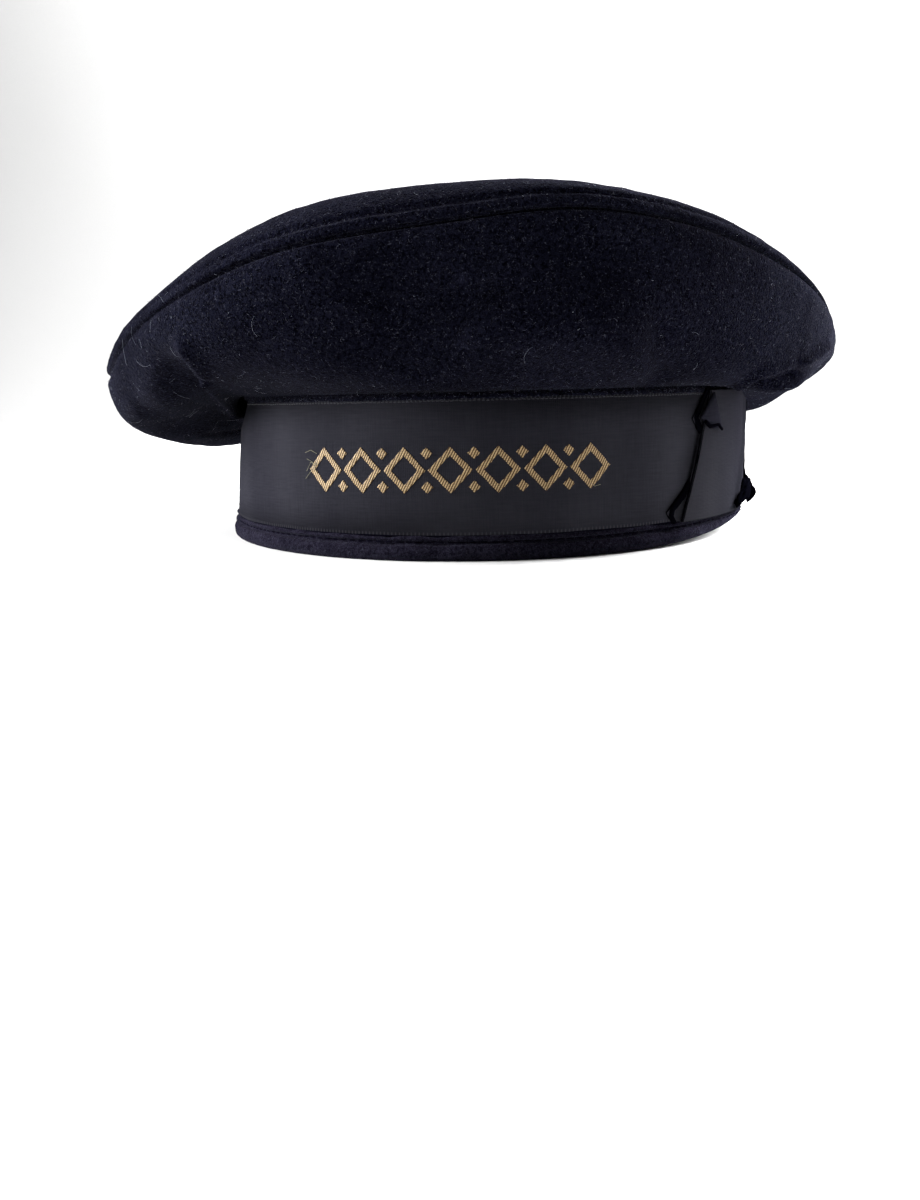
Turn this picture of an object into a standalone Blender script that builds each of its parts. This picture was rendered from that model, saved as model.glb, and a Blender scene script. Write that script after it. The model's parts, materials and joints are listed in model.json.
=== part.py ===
"""A sailor's soft flat cap of dark wool cloth, with a ribbon and a flat bow round its head band.

The cap stands on the lower edge of its band. +Z is up, the wearer's face is towards -Y and the
wearer's left ear, with the bow, is towards +X. Lengths are in metres.
"""

import math

import bmesh
import bpy
from mathutils import Vector

# The opening for the head, measured inside the band.
HEAD_HALF_WIDTH = 0.0830
HEAD_HALF_LENGTH = 0.0955

# Cloth and ribbon, and the space left between pieces that are sewn together.
BAND_WALL = 0.0025
WOOL_WALL = 0.0020
RIBBON_WALL = 0.0010
SEWN_GAP = 0.0003

# The welt is the folded strip along the band's lower edge, and the ribbon sits on it.
WELT_HEIGHT = 0.0070
WELT_WIDTH = 0.0032
RIBBON_WIDTH = 0.0380

# The crown: a round top, larger than the band and set back and to the wearer's right of it.
CROWN_RADIUS = 0.1280
CROWN_SIDE_SHIFT = -0.0090
CROWN_BACK_SHIFT = 0.0120
CROWN_RISE = 0.0450
CROWN_PUFF = 0.0140
CROWN_DOME = 0.0100
FOOT_BEND = 0.0013
SEAM_TURN = 0.0009
FOLD_DEPTH = 0.0060

# The bow, flat on the band at the wearer's left. Lengths run along the band from its middle.
BOW_TURN = 86.0
LOOP_LENGTH = 0.0660
LOOP_LEAN = 0.0150
LOOP_GAP = 0.0006
TAIL_LENGTH = 0.0716
KNOT_LENGTH = 0.0120
WAIST_LENGTH = 0.0130
WAIST_HEIGHT = 0.0280

# How finely the rings and strips are cut.
RING_STEPS = 64
LOOP_STEPS = 7
LOOP_BENDS = (45, 90, 135)
TAIL_STEPS = 32
KNOT_STEPS = 4

BAND_BOTTOM = 0.0
RIBBON_BOTTOM = WELT_HEIGHT + SEWN_GAP
RIBBON_TOP = RIBBON_BOTTOM + RIBBON_WIDTH
BAND_TOP = RIBBON_TOP + SEWN_GAP
FOOT_BOTTOM = BAND_TOP + SEWN_GAP
BAND_HALF_WIDTH = HEAD_HALF_WIDTH + BAND_WALL
BAND_HALF_LENGTH = HEAD_HALF_LENGTH + BAND_WALL
RIBBON_MIDDLE = (RIBBON_BOTTOM + RIBBON_TOP) / 2
TAIL_STAND_OFF = SEWN_GAP + RIBBON_WALL + SEWN_GAP
LOOP_STAND_OFF = TAIL_STAND_OFF + RIBBON_WALL + SEWN_GAP
KNOT_STAND_OFF = LOOP_STAND_OFF + RIBBON_WALL + LOOP_GAP + RIBBON_WALL + SEWN_GAP

# Sections of the crown, by degrees of turn from the front towards the wearer's left. The rim is
# the seam round the crown. rise and the up columns are shares of CROWN_RISE, puff is a share of
# CROWN_PUFF, and the out columns are shares of the span from the band to the rim. foot is the
# handle that leaves the band, and head is the handle that reaches the rim from below.
SECTION_COLUMNS = ("turn", "rise", "puff", "foot_out", "foot_up", "head_out", "head_up")
SECTIONS = (
    (-150, 0.00, 0.56, 0.34, -0.50, 0.10, -0.58),
    (-120, 0.08, 0.52, 0.30, -0.58, 0.10, -0.62),
    (-95, 0.17, 0.48, 0.22, -0.60, 0.10, -0.68),
    (-76, 0.23, 0.52, 0.20, -0.43, 0.10, -0.68),
    (-62, 0.20, 0.92, 0.45, -0.09, -0.06, -0.58),
    (-48, 0.41, 0.79, 0.70, 0.11, -0.02, -0.19),
    (-34, 0.63, 0.88, 0.85, 0.14, 0.16, -0.30),
    (-16, 0.86, 0.85, 0.90, 0.18, 0.16, -0.30),
    (4, 0.97, 0.74, 0.90, 0.22, 0.14, -0.30),
    (20, 1.04, 0.50, 0.90, 0.20, 0.14, -0.30),
    (35, 0.97, 0.45, 0.85, 0.14, 0.16, -0.32),
    (50, 0.80, 0.50, 0.80, 0.00, 0.00, -0.37),
    (66, 0.60, 0.30, 0.66, -0.13, 0.15, -0.41),
    (84, 0.33, 0.42, 0.50, -0.04, 0.17, -0.17),
    (110, 0.16, 0.50, 0.44, -0.10, 0.12, -0.36),
    (140, 0.04, 0.56, 0.38, -0.30, 0.10, -0.50),
    (175, -0.04, 0.60, 0.34, -0.46, 0.10, -0.56),
)

# Soft folds in the crown's side. Each runs from a turn at the band to a turn at the rim, over part
# of the way up (0 at the band, 1 at the rim). push is a share of FOLD_DEPTH, outwards if positive.
FOLD_COLUMNS = ("band_turn", "rim_turn", "half_width", "low", "high", "push")
FOLDS = (
    (-56, -44, 11, 0.05, 0.85, 0.80),
    (-72, -66, 10, 0.05, 0.75, -0.85),
    (-10, -2, 22, 0.15, 0.90, -0.55),
    (26, 22, 16, 0.05, 0.75, 0.40),
    (64, 74, 10, 0.05, 0.70, 0.45),
    (82, 92, 9, 0.10, 0.70, -0.55),
    (120, 114, 14, 0.10, 0.90, 0.60),
    (146, 150, 12, 0.10, 0.85, -0.60),
    (178, 176, 14, 0.10, 0.85, 0.45),
    (-158, -150, 12, 0.10, 0.85, -0.60),
    (-124, -130, 13, 0.10, 0.85, 0.55),
)

# Shallow dents in the crown's top: place as shares of CROWN_RADIUS, depth as a share of CROWN_DOME.
DENT_COLUMNS = ("side", "back", "reach", "depth")
DENTS = (
    (0.30, -0.38, 0.34, 0.30),
    (-0.36, 0.02, 0.38, 0.34),
    (0.34, 0.34, 0.36, 0.28),
    (-0.18, 0.58, 0.30, -0.22),
)

# The cut end of a tail. up runs from the ribbon's lower edge (-1) to its upper edge (1), and length
# is a share of TAIL_LENGTH.
TAIL_COLUMNS = ("up", "length")
TAIL_END = (
    (-1.00, 0.966),
    (-0.84, 1.000),
    (-0.36, 0.852),
    (0.24, 0.740),
    (0.58, 0.831),
    (1.00, 0.712),
)

# The knot's section, upright. up is a share of its half height, and out is a share of the bow's
# thickness: the lower end stands off, and the upper end is tucked in.
KNOT_COLUMNS = ("up", "out")
KNOT_SECTION = (
    (-1.28, 0.58),
    (-1.12, 0.70),
    (-0.98, 0.30),
    (-0.84, 0.00),
    (-0.40, 0.00),
    (0.10, 0.00),
    (0.60, 0.00),
    (1.00, 0.00),
    (1.00, -1.00),
)

# Steps of the crown's side from the band to the rim, and of its top from the rim to the middle.
SIDE_STEPS = (0.06, 0.14, 0.24, 0.35, 0.46, 0.57, 0.68, 0.78, 0.87, 0.94)
ROLL_STEPS = (0.08, 0.22, 0.42, 0.66)
TOP_STEPS = (1.0, 0.80, 0.60, 0.40, 0.20)
PLATEAU_SHARE = 0.80


def rows_of(columns, table):
    return [dict(zip(columns, row)) for row in table]


def between(turn, rows):
    """A section for any turn: a smooth closed curve through the table's rows."""
    count = len(rows)
    spot = (turn - rows[0]["turn"]) % 360 + rows[0]["turn"]
    here = max(i for i in range(count) if rows[i]["turn"] <= spot)
    around = [rows[(here + step) % count] for step in (-1, 0, 1, 2)]
    turns = [row["turn"] + 360 * ((here + step) // count) for row, step in zip(around, (-1, 0, 1, 2))]
    gap = turns[2] - turns[1]
    along = (spot - turns[1]) / gap
    mixed = {}
    for name in rows[0]:
        before, first, second, after = (row[name] for row in around)
        leave = (second - before) / (turns[2] - turns[0]) * gap
        reach = (after - first) / (turns[3] - turns[1]) * gap
        mixed[name] = (
            first * (2 * along**3 - 3 * along**2 + 1)
            + leave * (along**3 - 2 * along**2 + along)
            + second * (3 * along**2 - 2 * along**3)
            + reach * (along**3 - along**2)
        )
    return mixed


def bezier(a, b, c, d, t):
    s = 1 - t
    return a * s**3 + b * (3 * s * s * t) + c * (3 * s * t * t) + d * t**3


def hump(distance, reach):
    """1 in the middle, falling smoothly to 0 at the reach."""
    return math.cos(math.pi / 2 * min(1.0, abs(distance) / reach)) ** 2


def band_point(turn, stand_off=0.0, height=0.0):
    """A point off the band's outer wall."""
    angle = math.radians(turn)
    out = Vector((BAND_HALF_LENGTH * math.sin(angle), -BAND_HALF_WIDTH * math.cos(angle), 0)).normalized()
    wall = Vector((BAND_HALF_WIDTH * math.sin(angle), -BAND_HALF_LENGTH * math.cos(angle), height))
    return wall + out * stand_off


def turn_along(start, length):
    """The turn reached from another turn after some length along the band's wall."""
    turn = start
    step = math.copysign(0.25, length)
    left = abs(length)
    while True:
        stride = (band_point(turn + step) - band_point(turn)).length
        if stride >= left:
            return turn + step * left / stride
        turn += step
        left -= stride


SECTION_ROWS = rows_of(SECTION_COLUMNS, SECTIONS)
FOLD_ROWS = rows_of(FOLD_COLUMNS, FOLDS)
DENT_ROWS = rows_of(DENT_COLUMNS, DENTS)
CROWN_MIDDLE = Vector((CROWN_SIDE_SHIFT, CROWN_BACK_SHIFT, 0))
RIM_HEIGHTS = [FOOT_BOTTOM + row["rise"] * CROWN_RISE for row in SECTION_ROWS]
MIDDLE_HEIGHT = sum(RIM_HEIGHTS) / len(RIM_HEIGHTS) + CROWN_DOME


def rim_point(turn):
    angle = math.radians(turn)
    rise = between(turn, SECTION_ROWS)["rise"]
    across = Vector((math.sin(angle), -math.cos(angle), 0)) * CROWN_RADIUS
    return CROWN_MIDDLE + across + Vector((0, 0, FOOT_BOTTOM + rise * CROWN_RISE))


def side_curve(turn, share):
    """The crown's side without its folds, from just above the band (0) to the rim (1)."""
    row = between(turn, SECTION_ROWS)
    foot = band_point(turn, FOOT_BEND, FOOT_BOTTOM + FOOT_BEND)
    rim = rim_point(turn)
    out = Vector((rim.x - foot.x, rim.y - foot.y, 0))
    foot_handle = foot + out * row["foot_out"] + Vector((0, 0, row["foot_up"] * CROWN_RISE))
    head_handle = rim + out * row["head_out"] + Vector((0, 0, row["head_up"] * CROWN_RISE))
    return bezier(foot, foot_handle, head_handle, rim, share)


def side_point(turn, share):
    """The crown's side with its folds pushed along the cloth's own outward direction."""
    push = 0.0
    for fold in FOLD_ROWS:
        middle = fold["band_turn"] + (fold["rim_turn"] - fold["band_turn"]) * share
        away = (turn - middle + 180) % 360 - 180
        run = (share - fold["low"]) / (fold["high"] - fold["low"])
        if 0 < run < 1:
            push += fold["push"] * hump(away, fold["half_width"]) * math.sin(math.pi * run) ** 2
    point = side_curve(turn, share)
    if push:
        around = side_curve(turn + 1, share) - side_curve(turn - 1, share)
        upward = side_curve(turn, share + 0.01) - side_curve(turn, share - 0.01)
        point += around.cross(upward).normalized() * push * FOLD_DEPTH
    return point


def top_point(turn, share):
    """The crown's top inside its rolled edge. share is 1 at the plateau's edge and 0 in the middle."""
    row = between(turn, SECTION_ROWS)
    angle = math.radians(turn)
    across = Vector((math.sin(angle), -math.cos(angle), 0)) * (PLATEAU_SHARE * share)
    edge = FOOT_BOTTOM + row["rise"] * CROWN_RISE + row["puff"] * CROWN_PUFF
    height = MIDDLE_HEIGHT + (edge - MIDDLE_HEIGHT) * share**1.25
    for dent in DENT_ROWS:
        away = math.hypot(across.x - dent["side"], across.y - dent["back"])
        height -= dent["depth"] * CROWN_DOME * hump(away, dent["reach"])
    return CROWN_MIDDLE + across * CROWN_RADIUS + Vector((0, 0, height))


def roll_point(turn, share):
    """The rounded edge of the crown's top, from the rim (0) to the plateau (1)."""
    row = between(turn, SECTION_ROWS)
    rim = rim_point(turn)
    edge = top_point(turn, 1.0)
    inner = top_point(turn, 0.85)
    climb = (rim - side_point(turn, 0.94)).normalized()
    rise = row["puff"] * CROWN_PUFF
    return bezier(rim, rim + climb * rise * 0.9, edge + (edge - inner) * 0.9, edge, share)


def turned_in(edge, inside, outward):
    """An edge of cloth that dips into its seam, and stops short of the cloth on the other side."""
    back = (inside - edge).normalized()
    return edge + back * (SEWN_GAP / 2) - outward * SEAM_TURN


def rim_outward(turn):
    around = rim_point(turn + 1) - rim_point(turn - 1)
    upward = roll_point(turn, 0.05) - side_point(turn, 0.97)
    return around.cross(upward).normalized()


def material(name, colour, roughness):
    made = bpy.data.materials.new(name)
    made.use_nodes = True
    shader = made.node_tree.nodes["Principled BSDF"]
    shader.inputs["Base Color"].default_value = (*colour, 1.0)
    shader.inputs["Roughness"].default_value = roughness
    shader.inputs["Metallic"].default_value = 0.0
    return made


def finished(name, bm, finish, collection, parent):
    """Makes an object from a bmesh, shaded smooth with its sharp edges kept."""
    bmesh.ops.recalc_face_normals(bm, faces=bm.faces)
    mesh = bpy.data.meshes.new(name)
    bm.to_mesh(mesh)
    bm.free()
    mesh.materials.append(finish)
    mesh.shade_smooth()
    mesh.set_sharp_from_angle(angle=math.radians(40))
    made = bpy.data.objects.new(name, mesh)
    collection.objects.link(made)
    made.parent = parent
    return made


def walled(made, thickness, offset):
    """Gives an open surface its thickness: inwards at offset -1, outwards at 1."""
    wall = made.modifiers.new("wall", "SOLIDIFY")
    wall.thickness = thickness
    wall.offset = offset
    wall.use_even_offset = True
    return made


def lofted(rings, closed=False, middle=None):
    """A surface extruded ring by ring. Each ring is a function that places a column by its turn."""
    bm = bmesh.new()
    column = bm.verts.layers.int.new("column")
    bmesh.ops.create_circle(bm, segments=RING_STEPS, radius=1.0)
    bm.verts.ensure_lookup_table()
    for index, vertex in enumerate(bm.verts):
        vertex[column] = index
    current = list(bm.edges)
    first = current
    for number, ring in enumerate(rings):
        if number:
            made = bmesh.ops.extrude_edge_only(bm, edges=current)["geom"]
            current = [item for item in made if isinstance(item, bmesh.types.BMEdge)]
            moved = [item for item in made if isinstance(item, bmesh.types.BMVert)]
        else:
            moved = list(bm.verts)
        for vertex in moved:
            vertex.co = ring(360 * vertex[column] / RING_STEPS)
    if closed:
        bmesh.ops.bridge_loops(bm, edges=first + current)
    if middle:
        centre = bmesh.ops.extrude_edge_only(bm, edges=current)["geom"]
        inner = [item for item in centre if isinstance(item, bmesh.types.BMVert)]
        bmesh.ops.pointmerge(bm, verts=inner, merge_co=middle)
    return bm


def facing_out(bm, point, outward):
    """Turns the whole surface over if its face nearest a point looks the wrong way."""
    bmesh.ops.recalc_face_normals(bm, faces=bm.faces)
    nearest = min(bm.faces, key=lambda face: (face.calc_center_median() - point).length)
    if nearest.normal.dot(outward) < 0:
        bmesh.ops.reverse_faces(bm, faces=bm.faces)


def open_piece(name, bm, finish, collection, parent):
    """As finished, for a surface whose sides were set by facing_out."""
    mesh = bpy.data.meshes.new(name)
    bm.to_mesh(mesh)
    bm.free()
    mesh.materials.append(finish)
    mesh.shade_smooth()
    mesh.set_sharp_from_angle(angle=math.radians(40))
    made = bpy.data.objects.new(name, mesh)
    collection.objects.link(made)
    made.parent = parent
    return made


def head_band(wool, collection, parent):
    heights = (BAND_BOTTOM, WELT_HEIGHT / 2, WELT_HEIGHT, (WELT_HEIGHT + BAND_TOP) / 2, BAND_TOP)
    bm = lofted([lambda turn, z=z: band_point(turn, 0, z) for z in heights])
    facing_out(bm, band_point(0, 0, BAND_TOP / 2), Vector((0, -1, 0)))
    return walled(open_piece("head_band", bm, wool, collection, parent), BAND_WALL, -1)


def band_welt(wool, collection, parent):
    """The folded strip round the band's lower edge, with the groove of its stitching."""
    profile = (
        (0.00, 1.00),
        (0.42, 1.00),
        (0.58, 0.86),
        (0.54, 0.72),
        (0.80, 0.60),
        (1.00, 0.38),
        (0.94, 0.14),
        (0.66, 0.00),
        (0.00, 0.00),
    )
    rings = [
        lambda turn, out=out, up=up: band_point(
            turn, SEWN_GAP + out * (WELT_WIDTH - SEWN_GAP), up * WELT_HEIGHT
        )
        for out, up in profile
    ]
    return finished("band_welt", lofted(rings, closed=True), wool, collection, parent)


def cap_ribbon(silk, collection, parent):
    heights = (RIBBON_BOTTOM, (RIBBON_BOTTOM + RIBBON_TOP) / 2, RIBBON_TOP)
    bm = lofted([lambda turn, z=z: band_point(turn, SEWN_GAP, z) for z in heights])
    facing_out(bm, band_point(0, 0, RIBBON_TOP / 2), Vector((0, -1, 0)))
    return walled(open_piece("cap_ribbon", bm, silk, collection, parent), RIBBON_WALL, 1)


def crown_side(wool, collection, parent):
    def foot(turn, bend):
        lift = math.radians(bend)
        out = FOOT_BEND * (1 - math.cos(lift))
        return band_point(turn, out, FOOT_BOTTOM + FOOT_BEND * math.sin(lift))

    def edge(turn):
        return turned_in(rim_point(turn), side_point(turn, 0.97), rim_outward(turn))

    rings = [lambda turn, bend=bend: foot(turn, bend) for bend in (0, 45, 90)]
    rings += [lambda turn, share=share: side_point(turn, share) for share in SIDE_STEPS]
    rings += [lambda turn: side_point(turn, 0.975), edge]
    bm = lofted(rings)
    facing_out(bm, side_point(0, 0.5), Vector((0, -1, 0)))
    return walled(open_piece("crown_side", bm, wool, collection, parent), WOOL_WALL, -1)


def crown_top(wool, collection, parent):
    def edge(turn):
        return turned_in(rim_point(turn), roll_point(turn, 0.05), rim_outward(turn))

    rings = [edge] + [lambda turn, share=share: roll_point(turn, share) for share in ROLL_STEPS]
    rings += [lambda turn, share=share: top_point(turn, share) for share in TOP_STEPS]
    bm = lofted(rings, middle=top_point(0, 0))
    facing_out(bm, top_point(0, 0), Vector((0, 0, 1)))
    return walled(open_piece("crown_top", bm, wool, collection, parent), WOOL_WALL, -1)


def strip(columns, rows, place):
    """A ribbon's surface: a grid, placed by a function of one item of columns and one of rows."""
    bm = bmesh.new()
    bmesh.ops.create_grid(bm, x_segments=len(columns) - 1, y_segments=len(rows) - 1, size=1.0)
    for vertex in bm.verts:
        column = round((vertex.co.x + 1) / 2 * (len(columns) - 1))
        row = round((vertex.co.y + 1) / 2 * (len(rows) - 1))
        vertex.co = place(columns[column], rows[row])
    return bm


def on_bow(length, stand_off, up):
    """A point by its distance from the bow's middle, positive to the back, and height above the ribbon's."""
    return band_point(turn_along(BOW_TURN, length), stand_off, RIBBON_MIDDLE + up)


def gathered(length):
    """Half the ribbon's height at a distance from the bow's middle: it is drawn in at the knot."""
    beyond = max(0.0, abs(length) - KNOT_LENGTH / 2 - SEWN_GAP)
    return (RIBBON_WIDTH - (RIBBON_WIDTH - WAIST_HEIGHT) * hump(beyond, WAIST_LENGTH)) / 2


def bow_tails(silk, collection, parent):
    """One flat strip under the loops, with a notch cut in each end."""

    def place(along, row):
        length = along * row["length"] * TAIL_LENGTH
        return on_bow(length, TAIL_STAND_OFF, row["up"] * gathered(length))

    columns = [2 * step / TAIL_STEPS - 1 for step in range(TAIL_STEPS + 1)]
    bm = strip(columns, rows_of(TAIL_COLUMNS, TAIL_END), place)
    facing_out(bm, on_bow(0, 0, 0), Vector((1, 0, 0)))
    return walled(open_piece("bow_tails", bm, silk, collection, parent), RIBBON_WALL, 1)


def bow_loop(name, side, silk, collection, parent):
    """A ribbon folded flat on itself. side is -1 for the loop towards the face and 1 for the back."""
    radius = (LOOP_GAP + RIBBON_WALL) / 2

    def place(spot, up):
        share, bend = spot
        turned = math.radians(bend)
        reach = LOOP_LENGTH - LOOP_LEAN * (up + 1) / 2 - radius - RIBBON_WALL / 2
        length = LOOP_GAP + share * (reach - LOOP_GAP) + radius * math.sin(turned)
        stand_off = LOOP_STAND_OFF + RIBBON_WALL / 2 + radius * (1 - math.cos(turned))
        return on_bow(side * length, stand_off, up * gathered(length))

    out = [(step / LOOP_STEPS, 0) for step in range(LOOP_STEPS + 1)]
    back = [(share, 180) for share, bend in reversed(out)]
    path = out + [(1.0, bend) for bend in LOOP_BENDS] + back
    bm = strip(path, (-1.0, 0.0, 1.0), place)
    return walled(open_piece(name, bm, silk, collection, parent), RIBBON_WALL, 0)


def bow_knot(silk, collection, parent):
    """A short strip over the waist of the bow."""
    half = (WAIST_HEIGHT + RIBBON_WALL) / 2 + SEWN_GAP

    def place(length, row):
        stand_off = KNOT_STAND_OFF + row["out"] * (KNOT_STAND_OFF - TAIL_STAND_OFF)
        return on_bow(length, stand_off + RIBBON_WALL / 2, row["up"] * half)

    columns = [KNOT_LENGTH * (step / KNOT_STEPS - 0.5) for step in range(KNOT_STEPS + 1)]
    bm = strip(columns, rows_of(KNOT_COLUMNS, KNOT_SECTION), place)
    return walled(open_piece("bow_knot", bm, silk, collection, parent), RIBBON_WALL, 0)


def main():
    for old in list(bpy.data.objects):
        bpy.data.objects.remove(old)
    collection = bpy.data.collections.new("sailor_cap")
    bpy.context.scene.collection.children.link(collection)
    cap = bpy.data.objects.new("cap_middle", None)
    collection.objects.link(cap)
    # The origin is on the surface under the middle of the crown.
    cap.location = (-CROWN_SIDE_SHIFT, -CROWN_BACK_SHIFT, 0)

    wool = material("navy_wool", (0.010, 0.010, 0.020), 0.95)
    silk = material("black_ribbon", (0.018, 0.018, 0.022), 0.50)

    head_band(wool, collection, cap)
    band_welt(wool, collection, cap)
    cap_ribbon(silk, collection, cap)
    crown_side(wool, collection, cap)
    crown_top(wool, collection, cap)
    bow_tails(silk, collection, cap)
    bow_loop("bow_loop_front", -1, silk, collection, cap)
    bow_loop("bow_loop_rear", 1, silk, collection, cap)
    bow_knot(silk, collection, cap)


main()
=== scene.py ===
# %% [markdown]
# # A sailor's wool cap with a ribbon and a flat bow
#
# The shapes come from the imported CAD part, and this script dresses them: felted wool, a woven ribbon, a bow, the
# stitching, loose fibres, light and a camera. Everything is in metres, with +Z up and the wearer's face towards -Y.

import json
import math
import random

import bmesh
import bpy
import numpy as np
from mathutils import Matrix, Vector, noise
from mathutils.bvhtree import BVHTree
from mathutils.kdtree import KDTree

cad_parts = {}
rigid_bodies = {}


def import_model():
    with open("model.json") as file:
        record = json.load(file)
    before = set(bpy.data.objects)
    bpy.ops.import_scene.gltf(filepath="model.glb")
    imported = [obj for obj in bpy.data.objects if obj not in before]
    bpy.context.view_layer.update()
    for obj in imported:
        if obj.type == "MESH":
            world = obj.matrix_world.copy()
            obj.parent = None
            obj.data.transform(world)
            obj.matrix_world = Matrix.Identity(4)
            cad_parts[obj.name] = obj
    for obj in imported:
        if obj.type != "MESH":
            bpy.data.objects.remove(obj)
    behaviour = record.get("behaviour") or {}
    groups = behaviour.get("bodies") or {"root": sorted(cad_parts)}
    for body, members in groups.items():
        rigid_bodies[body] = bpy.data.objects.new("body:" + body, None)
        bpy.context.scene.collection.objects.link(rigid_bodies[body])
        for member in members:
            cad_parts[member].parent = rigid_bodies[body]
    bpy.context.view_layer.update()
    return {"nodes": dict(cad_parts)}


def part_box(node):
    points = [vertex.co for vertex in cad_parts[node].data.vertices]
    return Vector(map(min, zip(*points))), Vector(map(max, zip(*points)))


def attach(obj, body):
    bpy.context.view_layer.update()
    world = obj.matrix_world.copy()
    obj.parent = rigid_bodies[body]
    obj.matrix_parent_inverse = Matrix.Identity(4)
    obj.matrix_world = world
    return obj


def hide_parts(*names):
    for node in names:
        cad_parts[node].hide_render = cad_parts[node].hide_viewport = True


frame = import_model()
nodes = frame["nodes"]
MM = 0.001
print("CAD nodes:", sorted(nodes))

# %% [markdown]
# ## Measures taken from the part
#
# The band is an ellipse, so a place on it is a turn from the front, a distance off its wall and a height. Ribbons and
# stitches are laid out along the band's length instead, so a table of turn against length is worked out once.

# %% Places on the band
band_low, band_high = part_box("head_band")
ribbon_low, ribbon_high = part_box("cap_ribbon")
welt_low, welt_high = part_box("band_welt")
BAND_MIDDLE = (band_low + band_high) / 2
HALF_WIDTH = (band_high.x - band_low.x) / 2
HALF_LENGTH = (band_high.y - band_low.y) / 2
RIBBON_OFF = ribbon_high.x - band_high.x
RIBBON_MIDDLE = (ribbon_low.z + ribbon_high.z) / 2
RIBBON_HALF = (ribbon_high.z - ribbon_low.z) / 2


def outward(turn):
    angle = math.radians(turn)
    return Vector((HALF_LENGTH * math.sin(angle), -HALF_WIDTH * math.cos(angle), 0)).normalized()


def on_band(turn, off, height):
    angle = math.radians(turn)
    wall = Vector((HALF_WIDTH * math.sin(angle), -HALF_LENGTH * math.cos(angle), height))
    return Vector((BAND_MIDDLE.x, BAND_MIDDLE.y, 0)) + wall + outward(turn) * off


TURNS = np.linspace(-180, 180, 1441)
WALL = np.array([on_band(turn, RIBBON_OFF, 0) for turn in TURNS])
STEPS = np.linalg.norm(np.diff(WALL, axis=0), axis=1)
LENGTHS = np.concatenate([[0], np.cumsum(STEPS)]) - STEPS.sum() / 2


def along_band(length, off, height):
    """A place by its length round the ribbon from the front, positive towards the wearer's left."""
    return on_band(float(np.interp(length, LENGTHS, TURNS)), off, height)


def turn_at(point):
    x, y = (point.x - BAND_MIDDLE.x) / HALF_WIDTH, (point.y - BAND_MIDDLE.y) / HALF_LENGTH
    return math.degrees(math.atan2(x, -y))


def length_at(point):
    """The length round the ribbon that a point lies at."""
    return float(np.interp(turn_at(point), TURNS, LENGTHS))


def stand_off(point):
    """A point's turn, and its distance off the band's wall."""
    flat = point.copy()
    for _ in range(3):
        turn = turn_at(flat)
        off = (point - on_band(turn, 0, point.z)).dot(outward(turn))
        flat = point - outward(turn) * off
    return turn, off


print("ribbon: %.0f mm round, %.1f mm high" % (STEPS.sum() / MM, 2 * RIBBON_HALF / MM))

# %% [markdown]
# ## Small tools for the materials
#
# A node tree is easier to read when a node is made, set and wired in one line, so `add` does that.

# %% Node helper


def add(tree, kind, inputs=None, **settings):
    """Adds a node. inputs maps a socket's name or number to a value or to another node's output."""
    node = tree.nodes.new(kind)
    for key, value in settings.items():
        setattr(node, key, value)
    for key, value in (inputs or {}).items():
        if isinstance(value, bpy.types.NodeSocket):
            tree.links.new(value, node.inputs[key])
        else:
            node.inputs[key].default_value = value
    return node


def blend(tree, factor, first, second):
    """A colour between two. A Mix node has a socket of each kind under one name: its colours are 6, 7 and out 2."""
    return add(tree, "ShaderNodeMix", {0: factor, 6: first, 7: second}, data_type="RGBA").outputs[2]


def calc(tree, operation, first, second=0.0, third=0.0, clamp=False):
    return add(
        tree, "ShaderNodeMath", {0: first, 1: second, 2: third}, operation=operation, use_clamp=clamp
    ).outputs[0]


def remap(tree, value, low, high, start=0.0, end=1.0):
    """A value's range stretched onto another, and held at its ends."""
    ranges = {"Value": value, "From Min": low, "From Max": high, "To Min": start, "To Max": end}
    return add(tree, "ShaderNodeMapRange", ranges).outputs[0]


def new_group(name, inputs, outputs):
    """A shader node group. inputs and outputs are (name, socket kind, default) rows."""
    group = bpy.data.node_groups.new(name, "ShaderNodeTree")
    for label, kind, value in inputs:
        socket = group.interface.new_socket(name=label, in_out="INPUT", socket_type=kind)
        socket.default_value = value
    for label, kind in outputs:
        group.interface.new_socket(name=label, in_out="OUTPUT", socket_type=kind)
    return group, add(group, "NodeGroupInput"), add(group, "NodeGroupOutput")


def new_material(name, roughness, specular, sheen=0.0, sheen_roughness=0.5, tint=(1, 1, 1, 1)):
    made = bpy.data.materials.new(name)
    made.use_nodes = True
    shader = made.node_tree.nodes["Principled BSDF"]
    shader.inputs["Roughness"].default_value = roughness
    shader.inputs["Specular IOR Level"].default_value = specular
    shader.inputs["Sheen Weight"].default_value = sheen
    shader.inputs["Sheen Roughness"].default_value = sheen_roughness
    shader.inputs["Sheen Tint"].default_value = tint
    return made, made.node_tree, shader


def plain_material(name, roughness, specular, colour, sheen=0.0):
    made, _, shader = new_material(name, roughness, specular, sheen)
    shader.inputs["Base Color"].default_value = (*colour, 1)
    return made


# %% [markdown]
# ## Felted wool
#
# Melton is wool that is woven, shrunk and brushed until the weave is gone. What shows is a soft mat of fibres: a fine
# mottle about a millimetre across, dark hollows between tufts, and now and then a pale fibre. Two noises of different
# size give the mottle, a third gives the tufts' relief, and a fourth, cut off high, gives the pale specks.

# %% Felt group, shared by every wool finish
felt, felt_in, felt_out = new_group(
    "felt",
    [
        ("Dark", "NodeSocketColor", (0.004, 0.004, 0.009, 1)),
        ("Light", "NodeSocketColor", (0.012, 0.012, 0.022, 1)),
        ("Speck", "NodeSocketColor", (0.034, 0.035, 0.048, 1)),
        ("Speck Amount", "NodeSocketFloat", 0.5),
    ],
    [("Color", "NodeSocketColor"), ("Height", "NodeSocketFloat")],
)
place = add(felt, "ShaderNodeTexCoord").outputs["Object"]


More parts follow.
